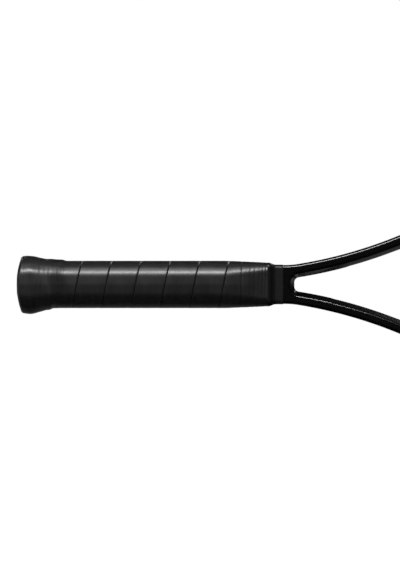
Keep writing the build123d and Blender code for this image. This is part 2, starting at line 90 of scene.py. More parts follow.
INNER_FLAT = 1.2 * MM
EDGE_STEPS = 9
GROOVE_DEPTH = 2.2 * MM
GROOVE_HALF_WIDTH = 3.5 * MM
GROOVE_START_X = 322 * MM
THROAT_GROOVE_REACH = 42.8 * MM
THROAT_STEP = 0.25 * MM  # widens the throat opening past the steps on the arms
THROAT_STEP_X = (240 * MM, 251 * MM)  # on the lower and the upper arm
THROAT_STEP_LENGTH = 2 * MM
THROAT_STEP_FADE = (285 * MM, 300 * MM)  # where that width runs out again

# ---- String bed ----
STRING_RADIUS = 0.65 * MM
STRING_PLANE = 0.66 * MM
STRING_DEPTH = 0.2 * MM  # of the string's centre line below the frame's outer face
STRING_BEND = 0.8 * MM  # radius of the string's turn at a grommet
SHARP_TURN = math.radians(12)  # a sharper turn of a route is rounded
MOUTH_INSET = TUBE_WIDTH + 1.8 * MM
MAIN_COUNT = 16
MAIN_REACH = 83 * MM
MAIN_CROWDING = 0.11
THROAT_MAINS = 8
CROSS_COUNT = 19
FIRST_CROSS_X = 383 * MM
LAST_CROSS_X = 640.6 * MM
CROSS_CROWDING = 0.115
MAIN_SWING = 0.2 * MM  # how far a main leaves its plane at a crossing
CROSS_SWING = 2 * STRING_PLANE - MAIN_SWING  # the crosses do the rest

# ---- Handle ----
Section = namedtuple("Section", "half_z half_y leg_z leg_y")
PALLET = Section(16.15 * MM, 14.3 * MM, 7.5 * MM, 7.5 * MM)
SHAFT = Section(SHAFT_HALF_WIDTH, HALF_BEAM, *OUTER_CHAMFER)
PALLET_TAPER_X = 160 * MM
TAPED_SHAFT = SHAFT._replace(leg_z=OUTER_EDGE[0] + 0.2 * MM, leg_y=OUTER_EDGE[1])
GRIP_CORE = PALLET._replace(leg_z=PALLET.leg_z + 0.7 * MM)  # sections that the grip's face follows
GRIP_END = SHAFT._replace(leg_z=4.2 * MM, leg_y=4.2 * MM)
BEVEL_CROWN = 1.5 * MM  # how far the middle of a bevel bulges, and of a wide flat
FLAT_CROWN = 0.4 * MM
CORNER_RADIUS = 10.0 * MM  # rounding of the grip over the edges of the pallets
TAPER_LOSS = (0.2, 0.7, 0.35)  # shares of those three that are lost at the grip's end
RING_POINTS = 96
RING_STEP = 0.05 * MM  # rings of the grip are worked out this far apart
# Height of the grip's outer face above the pallets, as (x, height) in millimetres, at its two ends.
BUTT_RISES = [(3.0, 5.25), (5.0, 5.45), (7.0, 5.75), (9.5, 5.9), (12.0, 5.75), (14.5, 5.25),
              (17.0, 4.45), (19.5, 3.78), (22.0, 3.2), (24.0, 2.66), (26.0, 2.15), (28.0, 1.84),
              (30.5, 1.7)]
# The same over the wide flats, where the flare runs out more slowly.
FRONT_RISES = [(3.0, 5.1), (9.5, 5.3), (14.5, 4.7), (19.5, 3.95), (24.0, 3.2), (28.0, 2.55), (32.0, 2.1),
               (36.0, 1.8), (40.0, 1.7)]
END_RISES = [(160.0, 1.7), (174.0, 1.75), (184.0, 1.72), (190.0, 1.66), (192.2, 1.5), (194.4, 0.9)]
# Narrow grooves near the grip's end, as (x, depth, half-width) in millimetres.
END_LINES = [(171.6, 0.26, 0.40), (178.3, 0.18, 0.42), (181.9, 0.12, 0.42), (185.2, 0.07, 0.42),
             (187.6, 0.10, 0.42), (190.0, 0.12, 0.42)]
END_LEAN = 0.35 * MM  # how much further on they lie at the top than in the middle
# The strip: its pitch, its edges, and where its seams show.
WRAP_PITCH = 22.4 * MM
FIRST_SEAM_X = 46.3 * MM  # where the first full seam crosses the middle of the front face
FRONT_SHARE = 0.25  # that middle, as a share of the way round from the bottom
SEAM_RISE = (36 * MM, 42 * MM)
SEAM_FADE = (163 * MM, 169 * MM)
SEAM_DEPTH = 0.55 * MM
LEAD_EDGE = 0.13 * MM  # width of the leading edge's slope, and of the trailing edge's
TRAIL_EDGE = 0.5 * MM
TRAIL_PRESS = 0.12 * MM  # depth and length that is pressed down before the next turn
TRAIL_REACH = 2.2 * MM
LEAD_PLACES = (0.0, 0.07, 0.14, 0.22, 0.4, 0.8, 1.4)  # vertices near the edges, in millimetres
TRAIL_PLACES = (0.0, 0.15, 0.3, 0.48, 0.7, 1.0, 1.4, 2.0)
MIDDLE_STEPS = 50
GRIP_SWELL = 0.24 * MM  # how far the cushioned middle of the strip stands out
# The doubled first turn: where it ends on the bottom side, where it begins to show, and its height.
DOUBLE_LAYER_X = 25.0 * MM
DOUBLE_LAYER_RISE = (21 * MM, 27 * MM)
DOUBLE_LAYER = 1.05 * MM
DOUBLE_EDGE = (2.2 * MM, 6.0 * MM)  # half-width of its slope, and what the front adds to it
# The butt: the dome, the strip's edge round it, and the flare.
DOME_RADIUS = 58 * MM  # across the wide flats; the dome is flatter the other way
DOME_FLAT = 0.43 * MM  # how much of the dome's depth the flat middle cuts off
LIP_LEAD = 0.20 * MM  # from the dome to the edge of the grip
LIP_LENGTH = 1.1 * MM  # rounding of that edge, along X and in height
LIP_DROP = 0.8 * MM
FLARE = (19 * MM, 13 * MM)  # middle and reach of the part where the folds are deep
DROOP = (12.5 * MM, 6 * MM)  # middle and reach of the part that sags
DROOP_DEPTH = 0.3 * MM
DOOR_HOLE_RADIUS = 7.1 * MM
# Before this the tape's colour is painted darker, as shade on its slope.
TAPE_FLAT_X = (197.0 * MM, 197.8 * MM)  # where the tape comes down onto the shaft


def smooth_step(low, high, value):
    t = min(max((value - low) / (high - low), 0.0), 1.0)
    return t * t * (3 - 2 * t)


def bell(value, centre, width):
    return math.exp(-((value - centre) / width) ** 2)


# ---- Outline arcs ----
# A point is given by its heading, the angle of the tangent to the X axis, and by its inset from the
# outer face. A hollow arc, whose centre lies outside the racket, has a negative radius.
Bow = namedtuple("Bow", "x z radius start end")


def at(bow, heading, inset=0.0):
    h = math.radians(heading)
    reach = bow.radius - inset
    return (bow.x - reach * math.sin(h), bow.z + reach * math.cos(h))


def outline_bows():
    turn, beta = math.radians(UPPER_SIDE_TURN), math.radians(SHOULDER_HEADING)
    tip_span = TOTAL_LENGTH - WIDEST_X
    sin, cos = math.sin(turn), math.cos(turn)
    det = sin * cos - (1 - sin) * (1 - cos)
    upper_radius = (tip_span * cos - HEAD_HALF_WIDTH * (1 - sin)) / det
    tip_radius = (HEAD_HALF_WIDTH * sin - tip_span * (1 - cos)) / det
    lower = Bow(WIDEST_X, HEAD_HALF_WIDTH - LOWER_SIDE_RADIUS, LOWER_SIDE_RADIUS, SHOULDER_HEADING, 0)
    upper = Bow(WIDEST_X, HEAD_HALF_WIDTH - upper_radius, upper_radius, 0, -UPPER_SIDE_TURN)
    tip = Bow(TOTAL_LENGTH - tip_radius, 0.0, tip_radius, -UPPER_SIDE_TURN, -90)
    shoulder = at(lower, SHOULDER_HEADING)
    arm_x = shoulder[0] - ARM_RADIUS * math.sin(beta)
    arm_z = shoulder[1] + ARM_RADIUS * math.cos(beta)
    neck_z = SHAFT_HALF_WIDTH + NECK_RADIUS
    neck_x = arm_x + math.sqrt((ARM_RADIUS - NECK_RADIUS) ** 2 - (arm_z - neck_z) ** 2)
    join = 90 - math.degrees(math.atan2(arm_z - neck_z, neck_x - arm_x))
    neck = Bow(neck_x, neck_z, -NECK_RADIUS, 0, join)
    arm = Bow(arm_x, arm_z, -ARM_RADIUS, join, SHOULDER_HEADING)
    inner = at(lower, SHOULDER_HEADING, TUBE_WIDTH)
    bridge_radius = inner[1] / math.cos(beta) + TUBE_WIDTH
    bridge = Bow(inner[0] + (bridge_radius - TUBE_WIDTH) * math.sin(beta), 0.0, bridge_radius, 90,
                 SHOULDER_HEADING)
    return neck, arm, lower, upper, tip, bridge


NECK, ARM, LOWER, UPPER, TIP, BRIDGE = outline_bows()
HEAD_BOWS = ((LOWER, 44), (UPPER, 36), (TIP, 30))  # arcs of the head with their number of steps


def bow_points(bow, inset, steps):
    """Points along an arc after its first one."""
    span = bow.end - bow.start
    return [at(bow, bow.start + span * (i + 1) / steps, inset) for i in range(steps)]


def mirrored_loop(half):
    """Closes a half loop that ends on the axis, and may start there, with its mirror image."""
    half = half[:-1] + [(half[-1][0], 0.0)]
    return half + [(x, -z) for x, z in reversed(half) if abs(z) > 1e-7]


def outer_loop(inset):
    """The racket's outside from the shaft's shoulder round the tip and back."""
    shaft_z = SHAFT_HALF_WIDTH - inset
    half = [(SHAFT_SHOULDER_X, shaft_z), (NECK.x, shaft_z)]
    for bow, steps in ((NECK, 6), (ARM, 40), *HEAD_BOWS):
        half += bow_points(bow, inset, steps)
    return mirrored_loop(half)


def oval_loop(outset):
    """The opening of the head, grown by outset."""
    inset = TUBE_WIDTH - outset
    half = [(at(BRIDGE, 90, inset)[0], 0.0)]
    for bow, steps in ((BRIDGE, 34), *HEAD_BOWS):
        half += bow_points(bow, inset, steps)
    return mirrored_loop(half)


def round_arc(centre, radius, start, end, steps):
    """Points of an arc after its first one; start and end are directions in degrees."""
    points = []
    for i in range(steps):
        a = math.radians(start + (end - start) * (i + 1) / steps)
        points.append((centre[0] + radius * math.cos(a), centre[1] + radius * math.sin(a)))
    return points


def direction(start, end):
    return math.degrees(math.atan2(end[1] - start[1], end[0] - start[0]))


def throat_corners():
    """Centres of the roundings at the crotch and where the arm meets the bridge."""
    reach = ARM_RADIUS + TUBE_WIDTH + CROTCH_RADIUS
    nose_x = CROTCH_X + CROTCH_RADIUS
    nose = (nose_x, ARM.z - math.sqrt(reach**2 - (nose_x - ARM.x) ** 2))
    reach = ARM_RADIUS + TUBE_WIDTH + THROAT_CORNER_RADIUS
    bridge_reach = BRIDGE.radius + THROAT_CORNER_RADIUS
    gap = math.hypot(BRIDGE.x - ARM.x, BRIDGE.z - ARM.z)
    along = (reach**2 - bridge_reach**2 + gap**2) / (2 * gap)
    across = math.sqrt(reach**2 - along**2)
    ux, uz = (BRIDGE.x - ARM.x) / gap, (BRIDGE.z - ARM.z) / gap
    # Of the two crossings, the corner is the one on the butt's side of the line between the centres.
    corner = (ARM.x + along * ux + across * uz, ARM.z + along * uz - across * ux)
    return nose, corner


def throat_loop(outset):
    """The opening between the arms, grown by outset, from the crotch to the bridge."""
    nose, corner = throat_corners()
    arm_centre, bridge_centre = (ARM.x, ARM.z), (BRIDGE.x, BRIDGE.z)
    half = [(CROTCH_X - outset, 0.0), (CROTCH_X - outset, nose[1])]
    half += round_arc(nose, CROTCH_RADIUS + outset, 180, direction(nose, arm_centre), 10)
    start, end = direction(arm_centre, nose), direction(arm_centre, corner)
    half += round_arc(arm_centre, ARM_RADIUS + TUBE_WIDTH - outset, start, end, 40)
    start, end = direction(corner, arm_centre), direction(corner, bridge_centre)
    half += round_arc(corner, THROAT_CORNER_RADIUS + outset, start, end, 10)
    start, end = direction(bridge_centre, corner), 180
    half += round_arc(bridge_centre, BRIDGE.radius - outset, start, end, 24)
    return mirrored_loop(half)


def corner_curve(start, here, end, steps):
    """A soft turn from start to end, pulled towards the corner here."""
    shares = [k / steps for k in range(steps + 1)]
    return [start * (1 - t) ** 2 + here * 2 * t * (1 - t) + end * t * t for t in shares]


def softened(corners, radii, steps):
    """A polyline of (inset, y) corners with its inner corners rounded."""
    points = [corners[0]]
    for i in range(1, len(corners) - 1):
        here = Vector(corners[i])
        before, after = Vector(corners[i - 1]) - here, Vector(corners[i + 1]) - here
        lead = radii[i - 1] * math.tan((math.pi - before.angle(after)) / 2)
        start, end = here + before.normalized() * lead, here + after.normalized() * lead
        points += [tuple(p) for p in corner_curve(start, here, end, steps)]
    return points + [corners[-1]]


# ---- Mesh helpers ----
def join_rings(bm, first, second, closed=True):
    count = len(first)
    for i in range(count if closed else count - 1):
        j = (i + 1) % count
        bm.faces.new((first[i], first[j], second[j], second[i]))


def loft(bm, rings, closed=True):
    """Joins rings of points one after another, and gives the vertices of each."""
    verts = []
    for points in rings:
        verts.append([bm.verts.new(p) for p in points])
        if len(verts) > 1:
            join_rings(bm, verts[-2], verts[-1], closed)
    return verts


def add_object(name, data):
    """A new object of the data, in the scene."""
    thing = bpy.data.objects.new(name, data)
    bpy.context.scene.collection.objects.link(thing)
    return thing


def make_piece(name, bm, body, material, sharp_angle=35, merge=1e-7):
    """Turns a bmesh into a smooth-shaded piece of the object."""
    bmesh.ops.remove_doubles(bm, verts=bm.verts, dist=merge)
    bmesh.ops.dissolve_degenerate(bm, dist=merge, edges=bm.edges)
    bmesh.ops.recalc_face_normals(bm, faces=bm.faces)
    mesh = bpy.data.meshes.new(name)
    bm.to_mesh(mesh)
    bm.free()
    mesh.shade_smooth()
    mesh.set_sharp_from_angle(angle=math.radians(sharp_angle))
    piece = add_object(name, mesh)
    mesh.materials.append(material)
    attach(piece, body)
    return piece


# ---- Materials ----
def fill(tree, slot, value):
    """Links an input to a socket, or sets it to a plain value."""
    if isinstance(value, bpy.types.NodeSocket):
        tree.links.new(value, slot)
    else:
        slot.default_value = value


def fill_inputs(tree, node, **inputs):
    """Fills a node's inputs by name, with _ for a space, and gives the node."""
    for name, value in inputs.items():
        fill(tree, node.inputs[name.replace("_", " ")], value)
    return node


def add_node(tree, kind, **inputs):
    return fill_inputs(tree, tree.nodes.new("ShaderNode" + kind), **inputs)


def math_node(tree, operation, *values):
    """The result of a Math node whose inputs are sockets or numbers."""
    node = add_node(tree, "Math")
    node.operation = operation
    for slot, value in zip(node.inputs, values):
        fill(tree, slot, value)
    return node.outputs["Value"]


def shader_of(material):
    return material.node_tree.nodes["Principled BSDF"]


def new_material(name, color, roughness, **sockets):
    """A Principled material; sockets gives more of the shader's own values."""
    material = bpy.data.materials.new(name)
    material.use_nodes = True
    fill_inputs(material.node_tree, shader_of(material), Base_Color=(*color, 1), Roughness=roughness,
                **sockets)
    return material


def add_noise(material, scale, stretch=(1, 1, 1), detail=4.0, roughness=0.5, shift=0.0):
    """Noise over the object's own coordinates, in waves per metre times stretch."""
    tree = material.node_tree
    place = add_node(tree, "TexCoord").outputs["Object"]
    mapped = add_node(tree, "Mapping", Vector=place, Location=(shift, shift, shift),
                      Scale=tuple(scale * s for s in stretch)).outputs["Vector"]
    texture = add_node(tree, "TexNoise", Vector=mapped, Scale=1.0, Detail=detail, Roughness=roughness)
    return texture.outputs["Fac"]


def vary_color(material, source, dark, light, low=0.3, high=0.7):
    """Colour between dark and light, as the source goes from low to high."""
    tree = material.node_tree
    ramp = add_node(tree, "ValToRGB", Fac=source)
    for element, position, color in zip(ramp.color_ramp.elements, (low, high), (dark, light)):
        element.position = position
        element.color = (*color, 1)
    fill_inputs(tree, shader_of(material), Base_Color=ramp.outputs["Color"])


def vary_roughness(material, source, low, high):
    """Roughness between low and high over the middle of the source's range."""
    tree = material.node_tree
    span = add_node(tree, "MapRange", Value=source, From_Min=0.3, From_Max=0.7, To_Min=low, To_Max=high)
    fill_inputs(tree, shader_of(material), Roughness=span.outputs["Result"])


def add_bump(material, source, height, strength=1.0):
    """Bump of a height in metres; a second call lies over the first."""
    tree, normal = material.node_tree, shader_of(material).inputs["Normal"]
    bump = add_node(tree, "Bump", Height=source, Distance=height, Strength=strength)
    if normal.is_linked:
        tree.links.new(normal.links[0].from_socket, bump.inputs["Normal"])
    tree.links.new(bump.outputs["Normal"], normal)


def lacquer_material():
    material = new_material("black_lacquer", (0.0006, 0.0006, 0.00065), 0.3, Coat_Weight=1.0,
                            Coat_Roughness=0.18, Coat_IOR=1.6, Specular_IOR_Level=0.06)
    flecks = add_noise(material, 2600, detail=2.0)
    vary_color(material, flecks, (0.0003, 0.0003, 0.00033), (0.0010, 0.0010, 0.0011))
    add_bump(material, add_noise(material, 160, detail=1.0), 0.01 * MM, 0.1)
    return material


def grip_material():
    material = new_material("black_grip", (0.0030, 0.0030, 0.0028), 0.4, Specular_IOR_Level=1.0)
    streaks = add_noise(material, 420, stretch=(1.0, 0.16, 0.16), detail=5.0, roughness=0.6)
    vary_color(material, streaks, (0.0018, 0.0018, 0.0017), (0.0050, 0.0050, 0.0046))
    cloud = add_noise(material, 110, stretch=(1.0, 0.35, 0.35), detail=5.0, shift=3.1)
    vary_roughness(material, cloud, 0.33, 0.41)
    add_bump(material, streaks, 0.12 * MM, 0.4)
    add_bump(material, add_noise(material, 2400, detail=3.0, roughness=0.7), 0.05 * MM, 0.35)
    return material


def tape_material():
    """Matt tape on the shaft; on the slope of the grip's end its colour is painted darker, as shade
    where the slope faces away from the lamps.
    """
    material = new_material("black_tape", (0.0040, 0.0040, 0.0040), 0.37, Specular_IOR_Level=0.5)
    tree = material.node_tree
    place = add_node(tree, "SeparateXYZ", Vector=add_node(tree, "TexCoord").outputs["Object"])
    # Painted shade: the colour is darker before TAPE_FLAT_X, on the tape's slope down from the grip.
    painted_shade_fade = add_node(tree, "MapRange", Value=place.outputs["X"], From_Min=TAPE_FLAT_X[0],
                    From_Max=TAPE_FLAT_X[1], To_Max=0.6)
    streaks = add_noise(material, 900, stretch=(1.0, 0.05, 0.05), detail=4.0)
    mixed = math_node(tree, "ADD", math_node(tree, "MULTIPLY", streaks, 0.4), painted_shade_fade.outputs["Result"])
    vary_color(material, mixed, (0.0006, 0.0006, 0.0006), (0.0054, 0.0054, 0.0053), 0.1, 0.9)
    add_bump(material, streaks, 0.06 * MM, 0.4)
    return material


def moulded_material(name, color, roughness, grain=1800):
    material = new_material(name, color, roughness)
    fine = add_noise(material, grain, detail=2.0)
    lighter = tuple(c * 1.35 for c in color)
    vary_color(material, add_noise(material, 60, detail=6.0, shift=1.7), color, lighter)
    add_bump(material, fine, 0.04 * MM, 0.5)
    return material


def foam_material():
    material = new_material("pallet_foam", (0.34, 0.31, 0.25), 0.85)
    vary_color(material, add_noise(material, 500, detail=6.0), (0.26, 0.235, 0.18), (0.40, 0.37, 0.30))
    add_bump(material, add_noise(material, 1500, detail=2.0), 0.1 * MM, 0.6)
    return material


def steel_material():
    material = new_material("staple_steel", (0.55, 0.55, 0.56), 0.35, Metallic=1.0)
    add_bump(material, add_noise(material, 2000, stretch=(1, 0.1, 1)), 0.02 * MM, 0.4)
    return material


def string_material():
    material = new_material("natural_string", (0.56, 0.50, 0.34), 0.32, Coat_Weight=0.4,
                            Coat_Roughness=0.15)
    twist = add_noise(material, 900, detail=3.0)
    vary_color(material, twist, (0.48, 0.42, 0.27), (0.63, 0.57, 0.41))
    add_bump(material, add_noise(material, 3500, detail=2.0), 0.02 * MM, 0.5)
    return material


def rubber_material():
    material = new_material("dampener_rubber", (0.022, 0.022, 0.023), 0.55, Sheen_Weight=0.15)
    cloud = add_noise(material, 350, detail=5.0)
    vary_color(material, cloud, (0.017, 0.017, 0.018), (0.028, 0.028, 0.029))
    add_bump(material, add_noise(material, 4200, detail=2.0), 0.025 * MM, 0.6)
    return material


LACQUER = lacquer_material()
GRIP = grip_material()
TAPE = tape_material()
CAP = moulded_material("cap_plastic", (0.006, 0.006, 0.0062), 0.5)
DOOR = moulded_material("door_plastic", (0.02, 0.02, 0.021), 0.42)
NYLON = moulded_material("grommet_nylon", (0.012, 0.012, 0.0125), 0.48, grain=1200)
FOAM = foam_material()
STEEL = steel_material()
STRING = string_material()
RUBBER = rubber_material()


# ---- Frame shell ----
def edge_profile(edge, radii, painted_shade_fade):
    """(inset, y) points from the groove up the side, over a softened chamfer and onto the flat."""
    leg, depth = edge
    corners = [(0.0, GROOVE_HALF_WIDTH), (0.0, HALF_BEAM - depth), (leg, HALF_BEAM),
               (leg + painted_shade_fade, HALF_BEAM)]
    return softened(corners, radii, EDGE_STEPS)


def build_frame_shell():
    """The lacquered hoop, arms, shaft and bridge in one skin with softened chamfers."""
    bm = bmesh.new()
    outer = edge_profile(OUTER_EDGE, OUTER_EDGE_RADII, OUTER_FLAT)
    inner = edge_profile(INNER_EDGE, INNER_EDGE_RADII, INNER_FLAT)
    walls = ((outer_loop, grooved_outer_loop(), outer), (oval_loop, oval_loop(0.0), inner),
             (stepped_throat_loop, grooved_throat_loop(), inner))
    for side in (-1, 1):
        edges = []
        for shape, middle, profile in walls:
            rings = [(middle, 0.0), (middle, GROOVE_HALF_WIDTH)]
            rings += [(shape(offset), y) for offset, y in profile]
            last = loft(bm, [[(x, side * y, z) for x, z in points] for points, y in rings])[-1]
            edges += [bm.edges.get(pair) for pair in zip(last, last[1:] + last[:1])]
        bmesh.ops.triangle_fill(bm, use_beauty=True, use_dissolve=False, edges=edges)
    shell = make_piece("frame_shell", bm, "racket", LACQUER, sharp_angle=30)
    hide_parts("frame_hoop", "throat_bridge")


def grooved_outer_loop():
    """The outside with the stringing groove sunk in beyond the arms."""
    surface, floor = outer_loop(0.0), outer_loop(GROOVE_DEPTH)
    return [low if high[0] > GROOVE_START_X else high for high, low in zip(surface, floor)]


def stepped_throat_loop(outset):
    """The opening between the arms, a little wider past a small step on each arm."""
    loop = []
    for near, far in zip(throat_loop(outset), throat_loop(outset + THROAT_STEP)):
        start = THROAT_STEP_X[near[1] > 0]
        wide = smooth_step(start, start + THROAT_STEP_LENGTH, near[0])
        wide *= 1 - smooth_step(*THROAT_STEP_FADE, near[0])
        loop.append(tuple(a + (b - a) * wide for a, b in zip(near, far)))
    return loop


def grooved_throat_loop():
    """The opening between the arms with the stringing groove sunk into the bridge."""
    loop = []
    for surface, floor in zip(stepped_throat_loop(0.0), throat_loop(GROOVE_DEPTH)):
        reach = math.hypot(surface[0] - BRIDGE.x, surface[1] - BRIDGE.z)
        on_bridge = abs(reach - BRIDGE.radius) < 0.01 * MM
        loop.append(floor if on_bridge and abs(surface[1]) < THROAT_GROOVE_REACH else surface)
    return loop


# ---- Eight-sided sections of the handle ----
def grown(section, rise):
    """The same section with each of its eight sides moved out by rise."""
    slope = math.hypot(section.leg_z, section.leg_y)
    n_z, n_y = section.leg_y / slope, section.leg_z / slope
    reach = n_z * section.half_z + n_y * (section.half_y - section.leg_y) + rise
    half_z, half_y = section.half_z + rise, section.half_y + rise
    return Section(half_z, half_y, half_z - (reach - n_y * half_y) / n_z,
                   half_y - (reach - n_z * half_z) / n_y)


def blended(first, second, t):
    return Section(*(a + (b - a) * t for a, b in zip(first, second)))


def section_corners(section):
    """Corners (y, z) from the bottom up the front (-Y), over the top and down the back."""
    s = section
    front = [(s.leg_y - s.half_y, -s.half_z), (-s.half_y, s.leg_z - s.half_z),
             (-s.half_y, s.half_z - s.leg_z), (s.leg_y - s.half_y, s.half_z)]
    return [Vector(p) for p in front + [(-y, z) for y, z in reversed(front)]]


def rounded_path(corners, rounding, corner_steps=8):
    """A closed path whose corners are arcs, as (point, outward normal) pairs."""
    path = []
    for i, here in enumerate(corners):
        before, after = corners[i - 1] - here, corners[(i + 1) % len(corners)] - here
        turn = math.pi - before.angle(after)
        lead = min(rounding * math.tan(turn / 2), 0.48 * before.length, 0.48 * after.length)
        radius = lead / math.tan(turn / 2)
        normal = Vector((before.y, -before.x)).normalized()
        if normal.dot(here) < 0:
            normal = -normal
        centre = here + before.normalized() * lead - normal * radius
        first = math.atan2(normal.y, normal.x)
        for k in range(corner_steps + 1):
            a = first - turn * k / corner_steps
            spoke = Vector((math.cos(a), math.sin(a)))
            path.append((centre + spoke * radius, spoke))
    return path


def crowned(corners, bevel_crown, flat_crown):
    """Splits the bevels and the two wide flats at their middles and lifts them, so that they bulge."""
    result = []
    for here, following in zip(corners, corners[1:] + corners[:1]):
        result.append(here)
        run = following - here
        narrow_side = abs(run.y) < 1e-6
        crown = flat_crown if abs(run.x) < 1e-6 else bevel_crown
        if crown > 0 and not narrow_side:
            middle, out = (here + following) / 2, Vector((run.y, -run.x)).normalized()
            result.append(middle + (out if out.dot(middle) > 0 else -out) * crown)
    return result


def section_ring(section, rounding, count=108, crowns=(0.0, 0.0)):
    """Evenly spaced (point, normal) pairs round a section, from the middle of its bottom side."""
    path = rounded_path(crowned(section_corners(section), *crowns), rounding)
    bottom = (Vector((0.0, -section.half_z)), Vector((0.0, -1.0)))
    path = [bottom] + path + [bottom]
    reach = [0.0]
    for (a, _), (b, _) in zip(path, path[1:]):
        reach.append(reach[-1] + (b - a).length)
    ring, k = [], 0
    for i in range(count):
        goal = reach[-1] * i / count
        while reach[k + 1] < goal:
            k += 1
        t = (goal - reach[k]) / max(reach[k + 1] - reach[k], 1e-9)
        (a, na), (b, nb) = path[k], path[k + 1]
        ring.append((a.lerp(b, t), na.lerp(nb, t).normalized()))
    return ring


# ---- Grip ----
def piecewise(stations, x):
    """Height in metres at x from (x, height) stations in millimetres, straight between them."""
    if x <= stations[0][0] * MM:
        return stations[0][1] * MM
    for (x0, r0), (x1, r1) in zip(stations, stations[1:]):
        if x <= x1 * MM:
            return (r0 + (r1 - r0) * (x / MM - x0) / (x1 - x0)) * MM
    return stations[-1][1] * MM


def grip_section(x):
    if x <= PALLET_TAPER_X:
        return grown(GRIP_CORE, piecewise(BUTT_RISES, x))
    t = min((x - PALLET_TAPER_X) / (SHAFT_SHOULDER_X - PALLET_TAPER_X), 1.0)
    return grown(blended(GRIP_CORE, GRIP_END, t), piecewise(END_RISES, x))


RINGS = {}


def ring_at(x):
    """The rounded section of the grip at the nearest ring to x, worked out once."""
    key = round(x / RING_STEP)
    if key not in RINGS:
        place = key * RING_STEP
        narrowing = smooth_step(PALLET_TAPER_X, SHAFT_SHOULDER_X, place)
        bevel, painted_shade_fade, rounding = (size * (1 - loss * narrowing) for size, loss in zip(
            (BEVEL_CROWN, FLAT_CROWN, CORNER_RADIUS), TAPER_LOSS))
        RINGS[key] = section_ring(grip_section(place), rounding, RING_POINTS, (bevel, painted_shade_fade))
    return RINGS[key]


def seam_height(v):
    """Height of the strip across its width: a steep leading edge and a pressed trailing edge."""
    lead, trail = v * WRAP_PITCH, (1 - v) * WRAP_PITCH
    groove = bell(lead, 0.0, LEAD_EDGE) + math.exp(-((trail / TRAIL_EDGE) ** 1.6))
    return -SEAM_DEPTH * groove - TRAIL_PRESS * math.exp(-trail / TRAIL_REACH)


def end_lines(x, lean):
    """Edges of the narrow last turns, where the grip is pulled tight towards its end."""
    return -sum(depth * MM * bell(x - lean, place * MM, width * MM) for place, depth, width in END_LINES)


def dome_x(y, z):
    """X of the domed end of the butt at a place beside the axis."""
    return max((z * z + 0.5 * y * y) / (2 * DOME_RADIUS) - DOME_FLAT, 0.0)


def layer_height(x, u, up):
    """Height of the doubled first turn. Its edge moves on up the front and comes back low behind."""
    edge = DOUBLE_LAYER_X + WRAP_PITCH * min(u, 0.5) * (1 - smooth_step(0.8, 0.93, u))
    spread = DOUBLE_EDGE[0] + DOUBLE_EDGE[1] * max(0.0, 1 - up * up)
    share = 1 - smooth_step(edge - spread, edge + spread, x)
    return DOUBLE_LAYER * share * smooth_step(*DOUBLE_LAYER_RISE, x)


def lip_drop(from_rim):
    """How far the strip's edge round the dome is rounded down."""
    ease = max(0.0, 1 - from_rim / LIP_LENGTH)
    return LIP_DROP * (1 - math.sqrt(1 - ease * ease))


def fold_height(x, y, z):
    """Broad folds and fine stretch marks of the soft strip, deeper on the flare."""
    flare = bell(x, *FLARE)
    fold = noise.noise(Vector((x * 170 + z * 40, y * 45, z * 45)))
    stretch = noise.noise(Vector((x * 520 + 9, y * 75 + 7, z * 75)))
    return ((0.03 + 0.22 * flare) * fold + (0.03 + 0.09 * flare) * stretch) * MM


def strip_edge(turn, u):
    """X of the strip's leading edge. u runs once round the handle from the bottom up the front."""
    return FIRST_SEAM_X + WRAP_PITCH * (turn + u - FRONT_SHARE)


def grip_point(turn, place, v):
    """A point of the wrapped strip: place counts round the ring and v is the share of its width."""
    u = place / RING_POINTS
    x = strip_edge(turn, u) + WRAP_PITCH * v
    point, normal = ring_at(min(max(x, BUTT_RISES[0][0] * MM), GRIP_END_X))[place]
    rim = dome_x(point.x, point.y) + LIP_LEAD
    x = min(max(x, rim), GRIP_END_X)
    up = point.y / PALLET.half_z
    height = GRIP_SWELL + layer_height(x, u, up) - lip_drop(x - rim)
    height += seam_height(v) * smooth_step(*SEAM_RISE, x) * (1 - smooth_step(*SEAM_FADE, x))
    height += (piecewise(FRONT_RISES, x) - piecewise(BUTT_RISES, x)) * normal.x ** 2
    height += end_lines(x, END_LEAN * up) - DROOP_DEPTH * up * bell(x, *DROOP)
    height += fold_height(x, point.x, point.y)
    return (x, point.x + normal.x * height, point.y + normal.y * height)


def strip_shares():
    """Places across the strip, close together near its two edges."""
    start, end = LEAD_PLACES[-1] * MM / WRAP_PITCH, 1 - TRAIL_PLACES[-1] * MM / WRAP_PITCH
    middle = [start + (end - start) * (i + 1) / MIDDLE_STEPS for i in range(MIDDLE_STEPS - 1)]
    trail = [1 - d * MM / WRAP_PITCH for d in reversed(TRAIL_PLACES)]
    return [d * MM / WRAP_PITCH for d in LEAD_PLACES] + middle + trail


def build_grip():
    """The grip as one long strip wound round the handle, turn after turn."""
    bm = bmesh.new()
    shares = strip_shares()
    turns_before = math.ceil(FIRST_SEAM_X / WRAP_PITCH) + 1
    turns_after = math.ceil((GRIP_END_X - FIRST_SEAM_X) / WRAP_PITCH) + 1
    rows = []
    for column in range(-turns_before * RING_POINTS, turns_after * RING_POINTS + 1):
        turn, place = divmod(column, RING_POINTS)
        edge = strip_edge(turn, place / RING_POINTS)
        if edge <= GRIP_END_X and edge + WRAP_PITCH >= 2 * MM:
            rows.append([grip_point(turn, place, v) for v in shares])
    loft(bm, rows, closed=False)
    piece = make_piece("wrapped_grip", bm, "racket", GRIP, sharp_angle=75, merge=3e-6)
    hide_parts("base_grip")


# ---- Butt cap and door ----
def cap_ring(x, section, share=1.0, rounding=CORNER_RADIUS):
    """A ring between the door hole's circle (share 0) and a section (1), on the dome if x is None."""
    ring = []
    for point, _ in section_ring(section, rounding, RING_POINTS):
        p = (point.normalized() * DOOR_HOLE_RADIUS).lerp(point, share)
        ring.append((dome_x(p.x, p.y) if x is None else x, p.x, p.y))
    return ring


